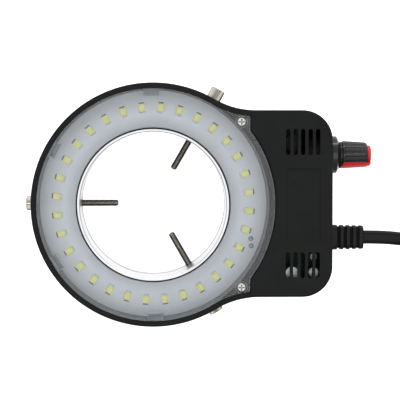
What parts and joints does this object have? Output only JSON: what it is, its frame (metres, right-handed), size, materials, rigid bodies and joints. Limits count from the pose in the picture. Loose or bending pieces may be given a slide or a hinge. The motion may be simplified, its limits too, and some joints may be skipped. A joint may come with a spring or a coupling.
{
  "type": "microscope ring light",
  "caption": "Ring light for a stereo microscope: lamp ring with a clear lens and metal-lined bore, side driver box with dimmer knob, mains cord and radial thumb screws.",
  "frame": {"origin": "on the bore axis, in the plane of the rear face that the light rests on", "axes": "+Z along the bore and out of the lamp face, +X from the bore towards the driver box with the knob and cord"},
  "size_m": [0.205, 0.156, 0.026],
  "materials": {
    "black_case": "satin moulded, fine spark texture",
    "clear_lens": "clear polycarbonate",
    "bore_aluminium": "fine turned",
    "steel_screw": "bright zinc",
    "nickel_screw": "dark nickel",
    "white_board": "white solder mask",
    "led_white": "moulded resin",
    "phosphor": "soft gel",
    "solder": "reflowed solder",
    "red_insulation": "pvc",
    "black_insulation": "pvc",
    "green_board": "green solder mask",
    "yellow_tape": "polyester tape",
    "ferrite": "sintered",
    "can_aluminium": "drawn",
    "can_sleeve": "shrink film",
    "black_resin": "moulded epoxy",
    "zinc_steel": "zinc plated",
    "brass": "turned",
    "knob_black": "satin moulded",
    "knob_red": "satin moulded",
    "boot_rubber": "soft pvc",
    "cord_jacket": "smooth pvc",
    "brown_insulation": "pvc",
    "blue_insulation": "pvc",
    "plug_plastic": "moulded pvc",
    "pin_brass": "nickel-plated"
  },
  "bodies": {
    "housing": {"rear_housing": "black_case", "box_cover": "black_case", "bore_sleeve": "bore_aluminium", "front_lens": "clear_lens", "lens_screws": "steel_screw", "case_screws": "steel_screw", "board_screws": "steel_screw", "lamp_board": "white_board", "led_packages": "led_white", "led_phosphors": "phosphor", "led_terminals": "solder", "solder_joints": "solder", "led_lead_positive": "red_insulation", "led_lead_negative": "black_insulation", "driver_board": "green_board", "transformer_coil": "yellow_tape", "transformer_core": "ferrite", "capacitor_cans": "can_aluminium", "capacitor_sleeves": "can_sleeve", "bridge_rectifier": "black_resin", "fuse": "black_resin", "controller_chip": "black_resin", "choke": "ferrite", "pot_body": "zinc_steel", "pot_bushing": "brass", "pot_washer": "zinc_steel", "pot_nut": "zinc_steel", "pot_terminals": "zinc_steel", "dimmer_lead_1": "red_insulation", "dimmer_lead_2": "yellow_tape", "dimmer_lead_3": "black_insulation", "strain_relief": "boot_rubber", "power_cord": "cord_jacket", "mains_lead_live": "brown_insulation", "mains_lead_neutral": "blue_insulation", "plug_body": "plug_plastic", "plug_pins": "pin_brass", "plug_pin_sleeves": "plug_plastic"},
    "dimmer_knob": {"pot_shaft": "zinc_steel", "knob_grip": "knob_black", "knob_core": "knob_red"},
    "left_stud": {"left_screw_stud": "nickel_screw"},
    "left_head": {"left_screw_head": "nickel_screw"},
    "upper_stud": {"upper_screw_stud": "nickel_screw"},
    "upper_head": {"upper_screw_head": "nickel_screw"},
    "lower_stud": {"lower_screw_stud": "nickel_screw"},
    "lower_head": {"lower_screw_head": "nickel_screw"}
  },
  "joints": [
    {"name": "dimmer_turn", "type": "hinge", "parent": "housing", "child": "dimmer_knob", "pos_m": [0.075, 0.02075, 0.013], "axis": [1, 0, 0], "range_deg": [-60, 240]},
    {"name": "left_feed", "type": "slide", "parent": "housing", "child": "left_stud", "axis": [1, 0, 0], "range_m": [-0.0157, 0.0023]},
    {"name": "left_turn", "type": "hinge", "parent": "left_stud", "child": "left_head", "pos_m": [-0.0514, 0, 0.0055], "axis": [1, 0, 0], "range_deg": [-11305, 1657]},
    {"name": "upper_feed", "type": "slide", "parent": "housing", "child": "upper_stud", "axis": [-0.5, -0.866, 0], "range_m": [-0.0139, 0.0041]},
    {"name": "upper_turn", "type": "hinge", "parent": "upper_stud", "child": "upper_head", "pos_m": [0.0266, 0.04607, 0.0055], "axis": [-0.5, -0.866, 0], "range_deg": [-10009, 2953]},
    {"name": "lower_feed", "type": "slide", "parent": "housing", "child": "lower_stud", "axis": [-0.5, 0.866, 0], "range_m": [-0.0157, 0.0023]},
    {"name": "lower_turn", "type": "hinge", "parent": "lower_stud", "child": "lower_head", "pos_m": [0.0257, -0.04451, 0.0055], "axis": [-0.5, 0.866, 0], "range_deg": [-11305, 1657]}
  ],
  "couplings": [
    {"joint": "left_turn", "follows": "left_feed", "rad_per_m": 12566},
    {"joint": "upper_turn", "follows": "upper_feed", "rad_per_m": 12566},
    {"joint": "lower_turn", "follows": "lower_feed", "rad_per_m": 12566}
  ]
}
